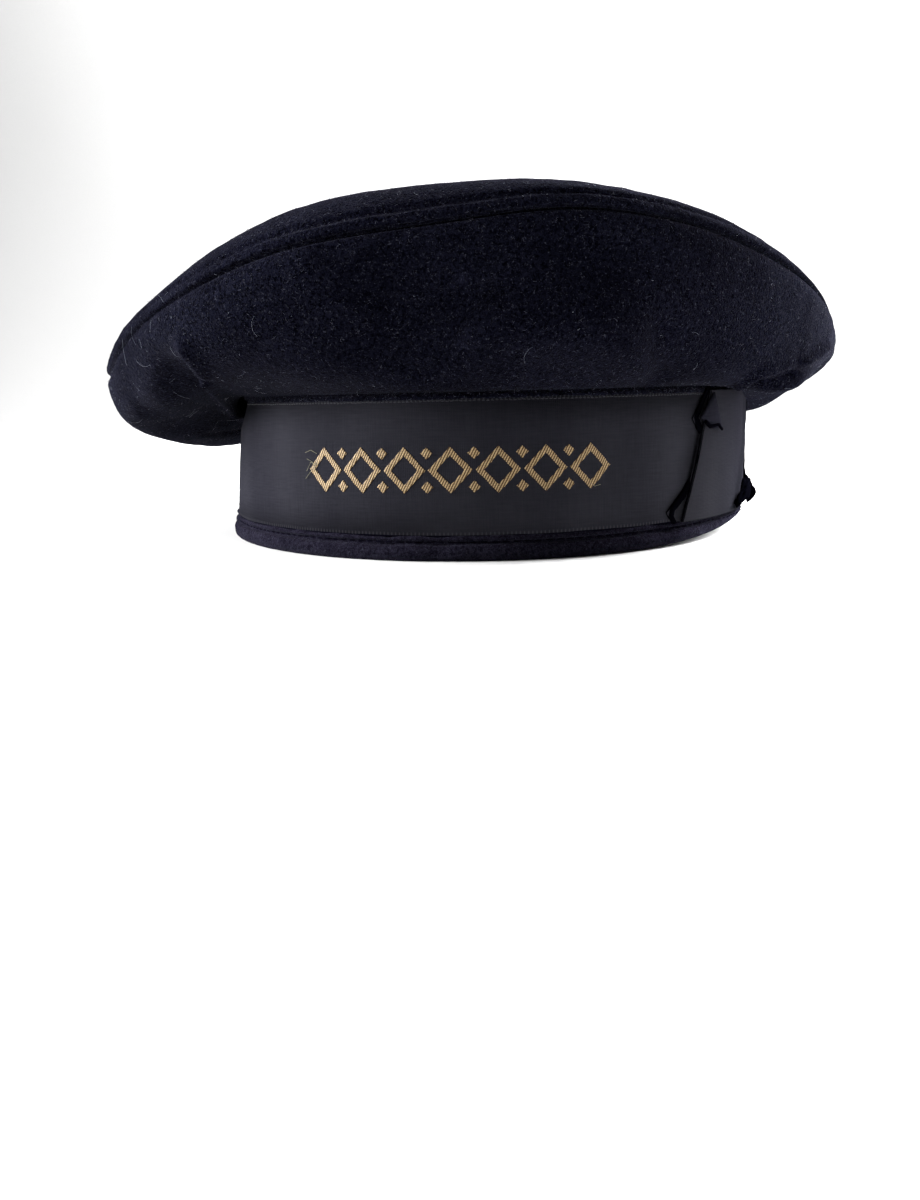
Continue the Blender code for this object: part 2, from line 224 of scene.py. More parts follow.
def felt_noise(scale, detail, roughness=0.5, distortion=0.0):
    settings = {"Vector": place, "Scale": scale, "Detail": detail, "Roughness": roughness, "Distortion": distortion}
    return add(felt, "ShaderNodeTexNoise", settings).outputs["Fac"]


mottle = felt_noise(1000.0, 3.0, 0.6, 0.6)
grain = felt_noise(2700.0, 2.0, 0.6)
tufts = felt_noise(2000.0, 3.0, distortion=0.8)
wear = felt_noise(38.0, 3.0, 0.55)
specks = felt_noise(1500.0, 1.0, distortion=1.5)
mixed = calc(felt, "ADD", mottle, grain)
shade = calc(felt, "MULTIPLY", remap(felt, mixed, 0.84, 1.18), remap(felt, wear, 0.30, 0.75, 0.55, 1.25), clamp=True)
body = blend(felt, shade, felt_in.outputs["Dark"], felt_in.outputs["Light"])
flecked = calc(felt, "MULTIPLY", remap(felt, specks, 0.62, 0.74), felt_in.outputs["Speck Amount"], clamp=True)
felt.links.new(blend(felt, flecked, body, felt_in.outputs["Speck"]), felt_out.inputs["Color"])
felt.links.new(calc(felt, "ADD", mottle, tufts), felt_out.inputs["Height"])
print("felt group:", len(felt.nodes), "nodes")

# %% Wool finishes


def wool(name, dark, light, speck_amount, bump):
    made, tree, shader = new_material(name, 0.95, 0.0, 0.04, 0.30, (0.62, 0.63, 0.80, 1))
    mat = add(tree, "ShaderNodeGroup", node_tree=felt)
    mat.inputs["Dark"].default_value = (*dark, 1)
    mat.inputs["Light"].default_value = (*light, 1)
    mat.inputs["Speck Amount"].default_value = speck_amount
    dents = add(
        tree, "ShaderNodeBump", {"Height": mat.outputs["Height"], "Strength": bump, "Distance": 0.45 * MM}
    )
    tree.links.new(mat.outputs["Color"], shader.inputs["Base Color"])
    tree.links.new(dents.outputs["Normal"], shader.inputs["Normal"])
    return made


crown_wool = wool("crown_wool", (0.0002, 0.0002, 0.0010), (0.0055, 0.0059, 0.0116), 0.60, 1.0)
band_wool = wool("band_wool", (0.0025, 0.0022, 0.0050), (0.0135, 0.0125, 0.0205), 0.45, 0.80)
thread_dark = plain_material("navy_thread", 0.90, 0.0, (0.002, 0.002, 0.005))
print("wool:", crown_wool.name, band_wool.name)

# %% [markdown]
# ## Rounded copies of the CAD cloth
#
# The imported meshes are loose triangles. A copy is merged, its triangles are joined back into four-sided faces, and
# Subdivision Surface rounds it. The cloth's cut edges are creased a little, so they stay as thin as cloth.

# %% Copying and rounding


def cad_copy(node):
    bm = bmesh.new()
    bm.from_mesh(nodes[node].data)
    bmesh.ops.remove_doubles(bm, verts=bm.verts, dist=0.01 * MM)
    bmesh.ops.join_triangles(
        bm,
        faces=bm.faces,
        angle_face_threshold=math.radians(70),
        angle_shape_threshold=math.radians(180),
    )
    for edge in bm.edges:
        edge.smooth = True
    return bm


def shown_object(name, data):
    made = bpy.data.objects.new(name, data)
    bpy.context.scene.collection.objects.link(made)
    return made


def made_piece(name, bm, materials, parts=()):
    """Turns a bmesh into a shown piece that rides on the cap, at the origin, and stands for CAD nodes."""
    mesh = bpy.data.meshes.new(name)
    bm.to_mesh(mesh)
    bm.free()
    for finish in materials:
        mesh.materials.append(finish)
    mesh.shade_smooth()
    piece = shown_object(name, mesh)
    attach(piece, "root")
    if parts:
        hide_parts(*parts)
    return piece


def subdivided(mesh, levels):
    """A new mesh: this one after Subdivision Surface. Its first points are the old points, in their old order."""
    holder = shown_object("rounding", mesh)
    modifier = holder.modifiers.new("round", "SUBSURF")
    modifier.levels = modifier.render_levels = levels
    smooth = bpy.data.meshes.new_from_object(holder.evaluated_get(bpy.context.evaluated_depsgraph_get()))
    bpy.data.objects.remove(holder)
    return smooth


def curve_bmesh(curve):
    """A curve's tube as a bmesh. The curve itself is used up."""
    holder = shown_object("line", curve)
    solid = bpy.data.meshes.new_from_object(holder.evaluated_get(bpy.context.evaluated_depsgraph_get()))
    bpy.data.objects.remove(holder)
    bpy.data.curves.remove(curve)
    bm = bmesh.new()
    bm.from_mesh(solid)
    bpy.data.meshes.remove(solid)
    return bm


def tube(rows, closed=False):
    """A round tube through (place, radius) rows, as a bmesh."""
    curve = bpy.data.curves.new("tube", "CURVE")
    curve.dimensions = "3D"
    curve.bevel_depth = 1.0
    curve.bevel_resolution = 2
    curve.use_fill_caps = not closed
    spline = curve.splines.new("POLY")
    spline.points.add(len(rows) - 1)
    spline.use_cyclic_u = closed
    for point, (place, radius) in zip(spline.points, rows):
        point.co = (*place, 1)
        point.radius = radius
    return curve_bmesh(curve)


def rounded(bm, levels, passes=3):
    """Subdivision Surface without its shrinking: the cage grows until the rounded surface meets the old points."""
    cage = bpy.data.meshes.new("cage")
    bm.to_mesh(cage)
    wanted = [vertex.co.copy() for vertex in bm.verts]
    bm.free()
    for _ in range(passes):
        smooth = subdivided(cage, 1)
        for vertex, target, reached in zip(cage.vertices, wanted, smooth.vertices):
            vertex.co += target - reached.co
        bpy.data.meshes.remove(smooth)
    smooth = subdivided(cage, levels)
    result = bmesh.new()
    result.from_mesh(smooth)
    bpy.data.meshes.remove(smooth)
    bpy.data.meshes.remove(cage)
    return result


def crease_corners(bm, least_angle, amount):
    crease = bm.edges.layers.float.get("crease_edge") or bm.edges.layers.float.new("crease_edge")
    for edge in bm.edges:
        if len(edge.link_faces) == 2 and edge.calc_face_angle(0) > math.radians(least_angle):
            edge[crease] = amount


# %% [markdown]
# ## The rim seam
#
# The crown's top and side meet in a seam right round the rim. Its line is read from the two CAD nodes: wherever a point
# of the top has a point of the side beside it. Stitches, puckers and the ridge of folded cloth all follow that line.

# %% Find the seam
side_points = KDTree(len(nodes["crown_side"].data.vertices))
for index, vertex in enumerate(nodes["crown_side"].data.vertices):
    side_points.insert(vertex.co, index)
side_points.balance()
rim = {}
for vertex in nodes["crown_top"].data.vertices:
    beside, _, gap = side_points.find(vertex.co)
    if gap < 0.7 * MM:
        turn = round(math.degrees(math.atan2(beside.x, -beside.y)), 1)
        rim[turn] = (vertex.co + beside) / 2
RIM = [rim[turn] for turn in sorted(rim)]
RIM_TURNS = sorted(rim)


def rim_at(turn):
    """A place on the seam, on a smooth curve through the points that were found."""
    spot = (turn - RIM_TURNS[0]) % 360 + RIM_TURNS[0]
    here = int(np.searchsorted(RIM_TURNS, spot, side="right")) - 1
    count = len(RIM)
    a, b, c, d = (RIM[(here + step) % count] for step in (-1, 0, 1, 2))
    start = RIM_TURNS[here]
    end = RIM_TURNS[(here + 1) % count] + (360 if here + 1 >= count else 0)
    t = (spot - start) / (end - start)
    return 0.5 * (
        2 * b + (c - a) * t + (2 * a - 5 * b + 4 * c - d) * t * t + (3 * b - a - 3 * c + d) * t**3
    )


SEAM_COUNT = 1440
SEAM = [rim_at(360 * step / SEAM_COUNT) for step in range(SEAM_COUNT)]
seam_tree = KDTree(SEAM_COUNT)
for index, point in enumerate(SEAM):
    seam_tree.insert(point, index)
seam_tree.balance()
SEAM_LENGTH = sum((SEAM[i] - SEAM[i - 1]).length for i in range(SEAM_COUNT))
print("seam: %d points found, %.0f mm long" % (len(RIM), SEAM_LENGTH / MM))

# %% [markdown]
# ## The crown
#
# Felted cloth is never flat. Both crown pieces get broad soft swells, smaller dimples, and short puckers that fan away
# from the rim seam. On the top piece the seam's folded edges lie under the cloth as a low ridge, held by a line of
# stitches in a groove 4.6 mm from the seam.

# %% Shape the crown's cloth
TOPSTITCH = 4.6 * MM


def swell(point, size):
    return noise.noise(point / size)


def smooth_step(value, low, high):
    t = min(1.0, max(0.0, (value - low) / (high - low)))
    return t * t * (3 - 2 * t)


def hump(value, foot, top, end_of_top, end):
    """Rises from 0 at foot to 1 at top, and falls again from end_of_top to end."""
    return smooth_step(value, foot, top) * (1 - smooth_step(value, end_of_top, end))


CREASES = [
    # name, height and width in mm, points in mm
    ("left ridge", 3.9, 2.4,
     [(-82, -6, 40), (-80, -26, 42), (-78, -42, 43), (-73, -65, 46), (-69, -82, 50), (-67, -94, 53)]),
    ("left ridge end", 2.2, 3.2, [(-66, -100, 55), (-66, -105, 58), (-68, -107, 61)]),
    ("left shoulder", 1.8, 5.0, [(-61, -99, 58), (-63, -88, 56), (-67, -72, 53)]),
    ("left ridge foot", 1.8, 2.6, [(-78, -42, 43), (-80, -26, 42), (-82, -6, 40)]),
    ("left hollow", -2.6, 7.0, [(-83, -27, 39), (-82, -45, 42), (-76, -72, 46), (-75, -85, 51), (-74, -94, 55)]),
    ("left pocket", -2.4, 2.8, [(-76, -38, 48), (-79, -18, 46), (-79, -4, 46)]),
    ("low crease", -1.3, 2.0, [(-88, 1, 34), (-91, -12, 33), (-93, -27, 33)]),
    ("front hollow", -4.6, 6.5, [(1, -119, 57), (5, -121, 61), (9, -122, 65), (13, -123, 69), (18, -125, 75)]),
    ("front crease", -3.2, 2.4, [(2, -119, 58), (5, -121, 61), (9, -122, 65), (14, -123, 70)]),
    ("front swell", 2.6, 8.0, [(18, -121, 63), (26, -122, 63), (35, -121, 62)]),
    ("fold at left", -2.0, 5.0, [(-20, -128, 84), (-20, -128, 81), (-19, -127, 76)]),
    ("swell at left", 1.8, 6.0, [(-9, -128, 87), (-10, -129, 82), (-13, -127, 76), (-15, -125, 71)]),
    ("fold in the middle", -1.8, 4.4, [(-3, -129, 86), (-4, -129, 80), (-7, -126, 73)]),
    ("swell in the middle", 0.9, 6.0, [(4, -128, 87), (5, -128, 82), (6, -127, 77)]),
    ("swell at right", 1.3, 7.0, [(51, -116, 61), (56, -111, 57), (61, -103, 52)]),
    ("fold at right", -2.4, 4.6, [(66, -107, 61), (66, -103, 55), (67, -93, 49)]),
    ("right ridge", 2.0, 2.2,
     [(91, -66, 47), (94, -70, 49), (97, -70, 50), (102, -65, 51), (108, -60, 52), (119, -45, 58)]),
    ("right hollow", -2.8, 3.6, [(94, -60, 46), (97, -64, 47), (102, -62, 48), (108, -59, 50)]),
    ("right low ridge", 0.6, 2.6, [(93, -58, 44), (99, -57, 45), (106, -54, 46), (111, -50, 47)]),
]


def line_gap(points, line):
    """Each point's distance from a line of corners given in mm."""
    corners = np.array(line) * MM
    gap = np.full(len(points), 1.0)
    for start, end in zip(corners, corners[1:]):
        step = end - start
        share = np.clip(((points - start) @ step) / (step @ step), 0, 1)
        gap = np.minimum(gap, np.linalg.norm(points - start - share[:, None] * step, axis=1))
    return gap


def crease_moves(points):
    """How far each point is pushed out or in by the creases near it."""
    moves = np.zeros(len(points))
    for _, height, width, line in CREASES:
        moves += height * MM * np.exp(-((line_gap(points, line) / (width * MM)) ** 2))
    return moves


def refine_near_creases(bm, reach):
    """Halves the mesh's edges round the narrow creases."""
    points = np.array([vertex.co for vertex in bm.verts])
    near = np.zeros(len(points), bool)
    for _, _, width, line in CREASES:
        if width < 4:
            near |= line_gap(points, line) < reach
    bm.verts.index_update()
    edges = [edge for edge in bm.edges if all(near[vertex.index] for vertex in edge.verts)]
    bmesh.ops.subdivide_edges(bm, edges=edges, cuts=1, use_grid_fill=True)


def dress_crown(bm, is_outer, ridge):
    """Moves the outer cloth along its normal. ridge adds the low ridge and groove beside the seam."""
    bm.normal_update()
    creases = crease_moves(np.array([vertex.co for vertex in bm.verts]))
    moves = []
    for vertex, crease in zip(bm.verts, creases):
        if not is_outer(vertex):
            moves.append(0.0)
            continue
        near, index, gap = seam_tree.find(vertex.co)
        along = index / SEAM_COUNT * SEAM_LENGTH
        open_cloth = smooth_step(gap, 1.0 * MM, 9.0 * MM)
        if vertex.co.z < band_high.z + 8 * MM:
            open_cloth *= smooth_step(stand_off(vertex.co)[1], 0.2 * MM, 2.5 * MM)
        calm = 0.4 if ridge else 1.0
        shallow = 1 - 0.65 * math.sin(2 * math.pi * index / SEAM_COUNT) ** 4
        move = crease * open_cloth
        move += 0.75 * MM * swell(vertex.co, 34 * MM) * open_cloth * calm
        move += 0.34 * MM * swell(vertex.co + Vector((0.5, 0, 0)), 13 * MM) * open_cloth * calm
        move += 0.16 * MM * swell(vertex.co, 5 * MM) * open_cloth
        fan = hump(gap, 0.5 * MM, 3 * MM, 7 * MM, 20 * MM)
        pucker = noise.noise(Vector((along / (7.5 * MM), gap / (30 * MM), 4.0)))
        move += 0.42 * MM * fan * pucker * calm
        move -= 0.60 * MM * shallow * (1 - smooth_step(gap, 0.0, 1.6 * MM))
        if ridge:
            move += 0.25 * MM * shallow * hump(gap, 0.4 * MM, 1.6 * MM, 3.2 * MM, 4.4 * MM)
            move -= 0.85 * MM * shallow * max(0.0, 1 - ((gap - TOPSTITCH) / (1.3 * MM)) ** 2)
        else:
            move += 0.40 * MM * shallow * hump(gap, 1.2 * MM, 3.0 * MM, 5 * MM, 10 * MM)
        moves.append(move)
    for vertex, move in zip(bm.verts, moves):
        vertex.co += vertex.normal * move


def away_from_hollow(point):
    """From the middle of the crown's hollow, behind a place on its side, to that place."""
    turn, off = stand_off(point)
    rim_height = rim_at(math.degrees(math.atan2(point.x, -point.y))).z
    height = max(rim_height - 16 * MM, ribbon_high.z + 10 * MM)
    return point - on_band(turn, min(max(off, 5 * MM), 20 * MM), height)


def side_is_outer(vertex):
    return vertex.normal.dot(away_from_hollow(vertex.co)) > 0


side = rounded(cad_copy("crown_side"), 2)
refine_near_creases(side, 9 * MM)
refine_near_creases(side, 6 * MM)
dress_crown(side, side_is_outer, ridge=False)
crown_side = made_piece("crown_side_cloth", side, [crown_wool], ["crown_side"])


def top_is_outer(vertex):
    up_and_out = Vector((vertex.co.x, vertex.co.y, 0)).normalized() + Vector((0, 0, 1))
    return vertex.normal.dot(up_and_out) > 0


top = rounded(cad_copy("crown_top"), 3)
dress_crown(top, top_is_outer, ridge=True)
crown_top = made_piece("crown_top_cloth", top, [crown_wool], ["crown_top"])
filler = []
for index in range(0, SEAM_COUNT, 4):
    inward = (Vector((0, 0, BAND_MIDDLE.z)) - SEAM[index]).normalized()
    filler.append((SEAM[index] + inward * (0.62 + 0.56 * inward.y**2) * MM, 0.70 * MM))
made_piece("rim_seam_fold", tube(filler, closed=True), [crown_wool])
print("crown:", len(crown_side.data.polygons), "and", len(crown_top.data.polygons), "faces")

# %% [markdown]
# ## Stitches
#
# A stitch that shows on thick wool is a short thread sunk at both ends, so it looks like a grain of rice. One is a
# small sphere, stretched by the matrix that also turns it along its line.

# %% A line of stitches


def grains(name, places, length, width, finish):
    """One stretched sphere at each (middle, direction, outward) row, all in one piece."""
    seed = bmesh.new()
    bmesh.ops.create_uvsphere(seed, u_segments=6, v_segments=5, radius=0.5)
    bmesh.ops.scale(seed, verts=seed.verts, vec=(width, width * 0.75, length))
    seed_mesh = bpy.data.meshes.new("grain")
    seed.to_mesh(seed_mesh)
    seed.free()
    bm = bmesh.new()
    for middle, direction, out in places:
        across = out.cross(direction).normalized()
        turn = Matrix((across, out, direction)).transposed().to_4x4()
        one = seed_mesh.copy()
        one.transform(Matrix.Translation(middle) @ turn)
        bm.from_mesh(one)
        bpy.data.meshes.remove(one)
    bpy.data.meshes.remove(seed_mesh)
    return made_piece(name, bm, [finish])


def surface_of(*pieces):
    """Something to cast rays at: the pieces' faces, as one tree."""
    bm = bmesh.new()
    for piece in pieces:
        bm.from_mesh(piece.data)
    tree = BVHTree.FromBMesh(bm)
    bm.free()
    return tree


crown_tree = surface_of(crown_top)
PITCH = 3.6 * MM
places = []
for step in range(int(SEAM_LENGTH / PITCH)):
    index = int(step * PITCH / SEAM_LENGTH * SEAM_COUNT)
    start = SEAM[index]
    direction = (SEAM[(index + 4) % SEAM_COUNT] - SEAM[index - 4]).normalized()
    level = Vector((start.x, start.y, 0)).normalized()
    spot, normal, _, _ = crown_tree.find_nearest(start - level * 3 * MM + Vector((0, 0, 4 * MM)))
    for _ in range(3):
        climb = (spot - start).normalized()
        spot, normal, _, _ = crown_tree.find_nearest(start + climb * TOPSTITCH)
    places.append((spot + normal * 0.10 * MM, direction, normal))
grains("crown_topstitch", places, 2.5 * MM, 0.55 * MM, thread_dark)
print("topstitches:", len(places))

# %% [markdown]
# ## The band's welt
#
# The band's lower edge is folded up and sewn, which leaves a thin ledge, a groove with stitches in it and a fatter roll
# below. The CAD has that section already. It is rounded here, and its cloth is made uneven, as a hand-fed seam is.

# %% Dress the band and its welt
LEFT_PUSH = ((7, 20, 36, 41, 46), (3.8, 2.8, 0.9, -0.7, -3.2))  # heights, and the push out at each, in mm
HEM_LIFT = 4.8 * MM
KNOBS = [(-80.0, 6.0 * MM, 1.6 * MM), (88.0, 6.5 * MM, 2.2 * MM)]


def bulge(bm):
    """The soft band is squeezed out at the wearer's right, and its hem rides up at the wearer's left."""
    for vertex in bm.verts:
        turn = turn_at(vertex.co)
        share = math.exp(-(((turn + 86) / 34) ** 2))
        push = float(np.interp(vertex.co.z / MM, *LEFT_PUSH)) * MM
        vertex.co += outward(turn) * push * share
        lift = HEM_LIFT * math.exp(-(((turn - 86) / 30) ** 2))
        vertex.co.z += lift * max(0.0, 1 - vertex.co.z / welt_high.z)


band = cad_copy("head_band")
crease_corners(band, 60, 1.0)
band = rounded(band, 2)
bulge(band)
band_piece = made_piece("band_cloth", band, [band_wool], ["head_band"])

welt = cad_copy("band_welt")
bmesh.ops.subdivide_edges(welt, edges=welt.edges, cuts=1, use_grid_fill=True)
welt = rounded(welt, 2, passes=0)
welt.normal_update()
GROOVE = welt_low.z + 0.76 * (welt_high.z - welt_low.z)
for vertex in welt.verts:
    lumps = noise.noise(vertex.co / (8 * MM)) * 0.50 * MM + noise.noise(vertex.co / (2.6 * MM)) * 0.20 * MM
    free = smooth_step(vertex.co.z, 0.6 * MM, 2.0 * MM)
    lumps -= 0.9 * MM * math.exp(-(((vertex.co.z - GROOVE) / (0.55 * MM)) ** 2))
    for turn, height, size in KNOBS:
        lumps += size * math.exp(-(((vertex.co - on_band(turn, 3 * MM, height)).length / (2.4 * MM)) ** 2))
    vertex.co += vertex.normal * lumps * free
bulge(welt)
welt_piece = made_piece("welt_cloth", welt, [band_wool], ["band_welt"])

welt_tree = surface_of(welt_piece)
PITCH = 3.1 * MM
places = []
for step in range(int(STEPS.sum() / PITCH)):
    length = LENGTHS[0] + step * PITCH
    out = outward(float(np.interp(length, LENGTHS, TURNS)))
    spot = welt_tree.ray_cast(along_band(length, 12 * MM, GROOVE), -out)[0]
    direction = (along_band(length + MM, 0, 0) - along_band(length - MM, 0, 0)).normalized()
    places.append((spot + out * 0.05 * MM, direction, out))
grains("welt_stitches", places, 2.2 * MM, 0.50 * MM, thread_dark)
print("welt stitches:", len(places))

# %% [markdown]
# ## Woven ribbon
#
# The ribbon is a close ribbed weave. Its pattern has to follow it round the head, so the ribbon gets a UV map in
# metres, along its length and across it, and its material works in those metres: ribs half a millimetre apart, fine
# lengthways streaks, broad bands of painted sheen that lighten its colour and also lower its roughness, and paler
# threads in its edges.

# %% Ribbon map


def map_ribbon(bm):
    """A UV map in metres: along the ribbon from the cap's front, and up from the ribbon's middle."""
    layer = bm.loops.layers.uv.new("weave")
    round_it = float(STEPS.sum())
    for face in bm.faces:
        lengths = [length_at(loop.vert.co) for loop in face.loops]
        crosses_back = max(lengths) - min(lengths) > round_it / 2
        for loop, length in zip(face.loops, lengths):
            if crosses_back and length < 0:
                length += round_it
            loop[layer].uv = (length, loop.vert.co.z - RIBBON_MIDDLE)


weave, weave_in, weave_out = new_group(
    "ribbed_weave",
    [
        ("Dark", "NodeSocketColor", (0.010, 0.010, 0.013, 1)),
        ("Light", "NodeSocketColor", (0.030, 0.030, 0.036, 1)),
        ("Edge", "NodeSocketColor", (0.035, 0.035, 0.042, 1)),
        ("Half Height", "NodeSocketFloat", RIBBON_HALF),
    ],
    [("Color", "NodeSocketColor"), ("Roughness", "NodeSocketFloat"), ("Height", "NodeSocketFloat")],
)
uv = add(weave, "ShaderNodeUVMap", uv_map="weave").outputs["UV"]
apart = add(weave, "ShaderNodeSeparateXYZ", {"Vector": uv})


def ripple(tree, value, period):
    """A sine from 0 to 1 that repeats after a length in metres."""
    wave = calc(tree, "SINE", calc(tree, "MULTIPLY", value, 2 * math.pi / period))
    return calc(tree, "MULTIPLY_ADD", wave, 0.5, 0.5)


def stretched_noise(tree, vector, along, across, detail):
    sized = add(tree, "ShaderNodeMapping", {"Vector": vector, "Scale": (along, across, 1)}).outputs["Vector"]
    return add(tree, "ShaderNodeTexNoise", {"Vector": sized, "Scale": 1.0, "Detail": detail}).outputs["Fac"]


ribs = ripple(weave, apart.outputs["X"], 0.55 * MM)
wefts = ripple(weave, apart.outputs["Y"], 0.40 * MM)
threads = stretched_noise(weave, uv, 120.0, 2300.0, 1.0)
picks = stretched_noise(weave, uv, 2300.0, 120.0, 1.0)
# Broad bands along the ribbon: painted sheen in the colour, and a real change of roughness.
sheen_bands = stretched_noise(weave, uv, 20.0, 6.0, 2.0)
streaks = calc(weave, "ADD", threads, picks)
streaks_and_painted_sheen = calc(weave, "MULTIPLY_ADD", streaks, 0.55, calc(weave, "MULTIPLY", sheen_bands, 2.6))
streaks_and_painted_sheen = remap(weave, streaks_and_painted_sheen, 0.9, 2.8)
ground = blend(weave, streaks_and_painted_sheen, weave_in.outputs["Dark"], weave_in.outputs["Light"])
from_edge = calc(weave, "SUBTRACT", weave_in.outputs["Half Height"], calc(weave, "ABSOLUTE", apart.outputs["Y"]))
dashes = calc(weave, "POWER", ripple(weave, apart.outputs["X"], 1.2 * MM), 3.0)
edge_mask = calc(weave, "MULTIPLY", remap(weave, from_edge, 1.0 * MM, 0.6 * MM), dashes)
relief = calc(weave, "MULTIPLY_ADD", streaks, 0.8, calc(weave, "ADD", ribs, wefts))
weave.links.new(blend(weave, edge_mask, ground, weave_in.outputs["Edge"]), weave_out.inputs["Color"])
weave.links.new(remap(weave, sheen_bands, 0.3, 0.7, 0.56, 0.38), weave_out.inputs["Roughness"])
weave.links.new(relief, weave_out.inputs["Height"])
print("weave group:", len(weave.nodes), "nodes")

# %% Ribbon finishes


def ribbon_finish(name, dark, light, half_height):
    made, tree, shader = new_material(name, 0.45, 0.0)
    cloth = add(tree, "ShaderNodeGroup", node_tree=weave)
    cloth.inputs["Dark"].default_value = (*dark, 1)
    cloth.inputs["Light"].default_value = (*light, 1)
    cloth.inputs["Half Height"].default_value = half_height
    rib = add(tree, "ShaderNodeBump", {"Height": cloth.outputs["Height"], "Strength": 0.55, "Distance": 0.08 * MM})
    tree.links.new(cloth.outputs["Color"], shader.inputs["Base Color"])
    tree.links.new(cloth.outputs["Roughness"], shader.inputs["Roughness"])
    tree.links.new(rib.outputs["Normal"], shader.inputs["Normal"])
    return made


band_ribbon = ribbon_finish("black_ribbon", (0.005, 0.005, 0.008), (0.027, 0.027, 0.033), RIBBON_HALF)
# The bow's copy is darker than the band's: painted shade, to hold down the stronger light the bow takes from the right
# lamp.
bow_ribbon_painted_shade = ribbon_finish("bow_ribbon_painted_shade", (0.005, 0.005, 0.008), (0.0185, 0.0185, 0.022), 1.0)
edge_thread = plain_material("ribbon_edge_thread", 0.5, 0.1, (0.024, 0.024, 0.030))
print("ribbon finishes:", band_ribbon.name, bow_ribbon_painted_shade.name)

# %% [markdown]
# The ribbon is pulled round the band and caught at its seams only, so its top edge waves a little and stands off in
# places. The map is made first, on the even ribbon, so the weave waves with the cloth.

# %% Ribbon cloth
ribbon = cad_copy("cap_ribbon")
crease_corners(ribbon, 60, 1.0)
ribbon = rounded(ribbon, 2)
map_ribbon(ribbon)
for vertex in ribbon.verts:
    length = length_at(vertex.co)
    high = (vertex.co.z - RIBBON_MIDDLE) / RIBBON_HALF
    edge = abs(high) ** 3
    wave = noise.noise(Vector((length / (16 * MM), high, 1.0))) * 0.45 * MM
    wave += noise.noise(Vector((length / (5 * MM), high, 2.0))) * 0.16 * MM
    vertex.co.z += (wave if high > 0 else 0.4 * wave) * edge
    out = outward(float(np.interp(length, LENGTHS, TURNS)))
    soft = noise.noise(Vector((length / (11 * MM), high * 1.5, 3.0))) * 0.10 * MM
    vertex.co += out * soft * (1 - edge * 0.5)
bulge(ribbon)
ribbon_piece = made_piece("ribbon_cloth", ribbon, [band_ribbon], ["cap_ribbon"])
# A thin dark tube along the ribbon's lower edge: a painted shadow line where the ribbon meets the welt.
foot = [(on_band(turn, 0.9 * MM, ribbon_low.z - 0.1 * MM), 0.35 * MM) for turn in range(-180, 180, 2)]
foot = tube(foot, closed=True)
bulge(foot)
made_piece("ribbon_foot_painted_shadow", foot, [thread_dark])
print("ribbon:", len(ribbon_piece.data.polygons), "faces")

# %% [markdown]
# A woven edge shows the weft turning round the outermost warp thread, as a row of tiny beads. They catch the light
# along the ribbon's top.

# %% Beaded edges
random.seed(3)
PITCH = 1.25 * MM
places = []
ribbon_tree = surface_of(ribbon_piece)
for step in range(int(STEPS.sum() / PITCH)):
    length = LENGTHS[0] + step * PITCH
    out = outward(float(np.interp(length, LENGTHS, TURNS)))
    direction = (along_band(length + MM, 0, 0) - along_band(length - MM, 0, 0)).normalized()
    probe = along_band(length, 4 * MM, RIBBON_MIDDLE + RIBBON_HALF - 0.75 * MM)
    spot = ribbon_tree.ray_cast(probe, -out)[0]
    if spot:
        lift = Vector((0, 0, noise.noise(probe / (3 * MM)) * 0.2 * MM))
        places.append((spot + lift, direction + Vector((0, 0, random.uniform(-0.25, 0.25))), out))
grains("ribbon_edge_beads", places, 0.95 * MM, 0.34 * MM, edge_thread)
print("beads:", len(places))

# %% [markdown]
# The crown's lower edge is gathered a little as it is sewn to the band, so a lumpy roll of wool sits along the top of
# the ribbon. It is a closed line with a changing radius.

# %% Gathered edge
ROLL_POINTS = 1080
roll = []
for index in range(ROLL_POINTS):
    turn = 360 * index / ROLL_POINTS - 180
    seed_place = on_band(turn, 0, 0)
    coarse = noise.noise(seed_place / (9 * MM))
    fine = noise.noise(seed_place / (1.5 * MM))
    place = on_band(turn, (0.70 + 0.30 * coarse) * MM, ribbon_high.z + (0.35 + 0.40 * coarse + 0.20 * fine) * MM)
    roll.append((place, (0.90 + 0.34 * fine + 0.20 * coarse) * MM))
roll = tube(roll, closed=True)
bulge(roll)
gathered = made_piece("gathered_edge", roll, [crown_wool])
print("gathered edge:", len(gathered.data.polygons), "faces")

# %% [markdown]
# ## Gold figure in the ribbon
#
# A cap ribbon has a figure woven in at the front, in gold thread that floats over the black ground in diagonal steps.
# Here it is a plain row of open lozenges with small ones between them. Each starts as a flat four-cornered circle on
# the ribbon's own map, gets its hole by inset, a little unevenness in its edges, and is then laid round the band.

# %% Gold finish
gold, gold_tree, gold_shader = new_material("gold_thread", 0.48, 0.12)
gold_uv = add(gold_tree, "ShaderNodeUVMap", uv_map="weave").outputs["UV"]
gold_apart = add(gold_tree, "ShaderNodeSeparateXYZ", {"Vector": gold_uv})
slant = calc(gold_tree, "MULTIPLY_ADD", gold_apart.outputs["Y"], -0.53, gold_apart.outputs["X"])
stray = stretched_noise(gold_tree, gold_uv, 900.0, 900.0, 2.0)
slant = calc(gold_tree, "MULTIPLY_ADD", stray, 0.25 * MM, slant)
twill = ripple(gold_tree, slant, 0.80 * MM)
strands = ripple(gold_tree, gold_apart.outputs["Y"], 0.62 * MM)
floats = remap(gold_tree, twill, 0.25, 0.75)
glow = calc(gold_tree, "MULTIPLY", floats, remap(gold_tree, strands, 0.0, 0.5, 0.7, 1.0))
glow = calc(gold_tree, "MULTIPLY", glow, remap(gold_tree, stray, 0.3, 0.7, 0.65, 1.1), clamp=True)
gold_colour = blend(gold_tree, glow, (0.050, 0.026, 0.010, 1), (0.42, 0.30, 0.155, 1))
